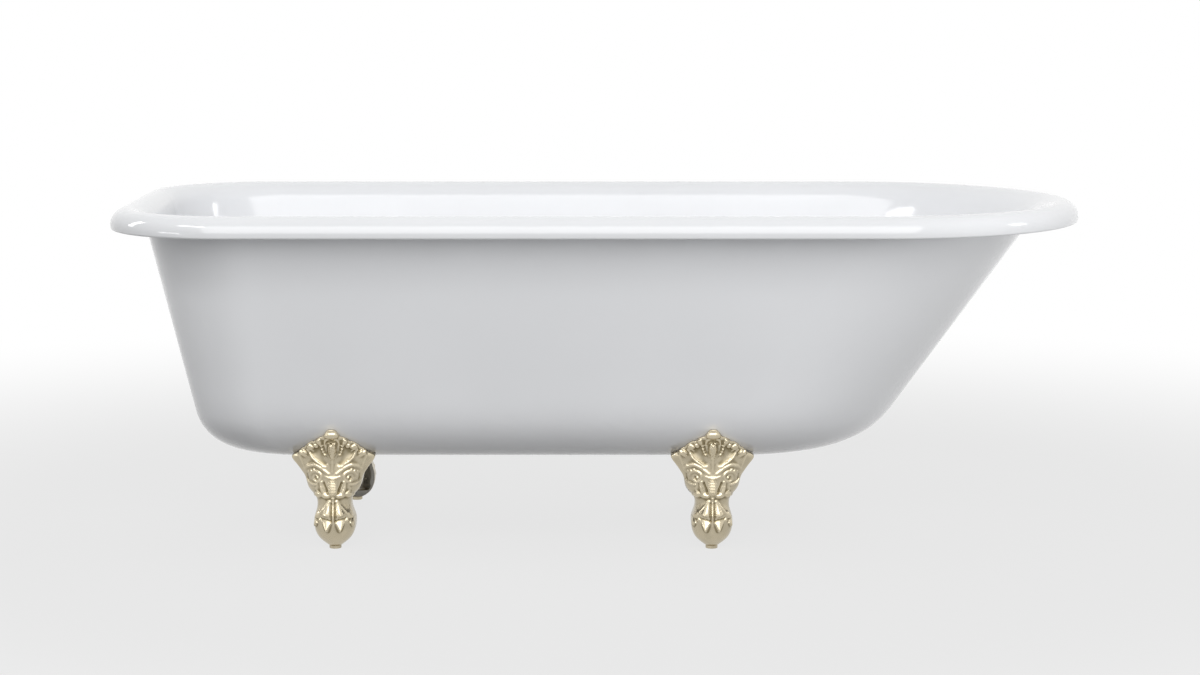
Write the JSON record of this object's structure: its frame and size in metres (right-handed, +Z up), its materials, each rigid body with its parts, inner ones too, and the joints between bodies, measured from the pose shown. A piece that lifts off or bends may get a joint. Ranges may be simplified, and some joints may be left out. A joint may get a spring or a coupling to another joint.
{
  "type": "clawfoot bathtub",
  "caption": "Roll-rim clawfoot bathtub with a flat tap end, a sloping round back and hollow claw feet on levelling screws.",
  "frame": {"origin": "on the floor, under the middle of the rim's outline", "axes": "+Z up; +X towards the sloping round back end, -X the flat tap end; Y across, -Y the side that faces the picture's camera"},
  "size_m": [1.676, 0.762, 0.584],
  "materials": {
    "white_enamel": "gloss",
    "champagne_plate": "satin",
    "champagne_screw": "satin",
    "zinc_steel": "satin"
  },
  "bodies": {
    "bath": {"foot_back_far": "champagne_plate", "foot_back_near": "champagne_plate", "foot_stud_back_far": "zinc_steel", "foot_stud_back_near": "zinc_steel", "foot_stud_tap_far": "zinc_steel", "foot_stud_tap_near": "zinc_steel", "foot_tap_far": "champagne_plate", "foot_tap_near": "champagne_plate", "lock_nut_back_far": "champagne_screw", "lock_nut_back_near": "champagne_screw", "lock_nut_tap_far": "champagne_screw", "lock_nut_tap_near": "champagne_screw", "stud_nut_back_far": "zinc_steel", "stud_nut_back_near": "zinc_steel", "stud_nut_tap_far": "zinc_steel", "stud_nut_tap_near": "zinc_steel", "stud_washer_back_far": "zinc_steel", "stud_washer_back_near": "zinc_steel", "stud_washer_tap_far": "zinc_steel", "stud_washer_tap_near": "zinc_steel", "tub_shell": "white_enamel"},
    "screw_tap_near": {"levelling_screw_tap_near": "champagne_screw"},
    "screw_tap_far": {"levelling_screw_tap_far": "champagne_screw"},
    "screw_back_near": {"levelling_screw_back_near": "champagne_screw"},
    "screw_back_far": {"levelling_screw_back_far": "champagne_screw"}
  },
  "joints": [
    {"name": "level_tap_near", "type": "slide", "parent": "bath", "child": "screw_tap_near", "axis": [0, 0, -1], "range_m": [0, 0.015]},
    {"name": "level_tap_far", "type": "slide", "parent": "bath", "child": "screw_tap_far", "axis": [0, 0, -1], "range_m": [0, 0.015]},
    {"name": "level_back_near", "type": "slide", "parent": "bath", "child": "screw_back_near", "axis": [0, 0, -1], "range_m": [0, 0.015]},
    {"name": "level_back_far", "type": "slide", "parent": "bath", "child": "screw_back_far", "axis": [0, 0, -1], "range_m": [0, 0.015]}
  ]
}
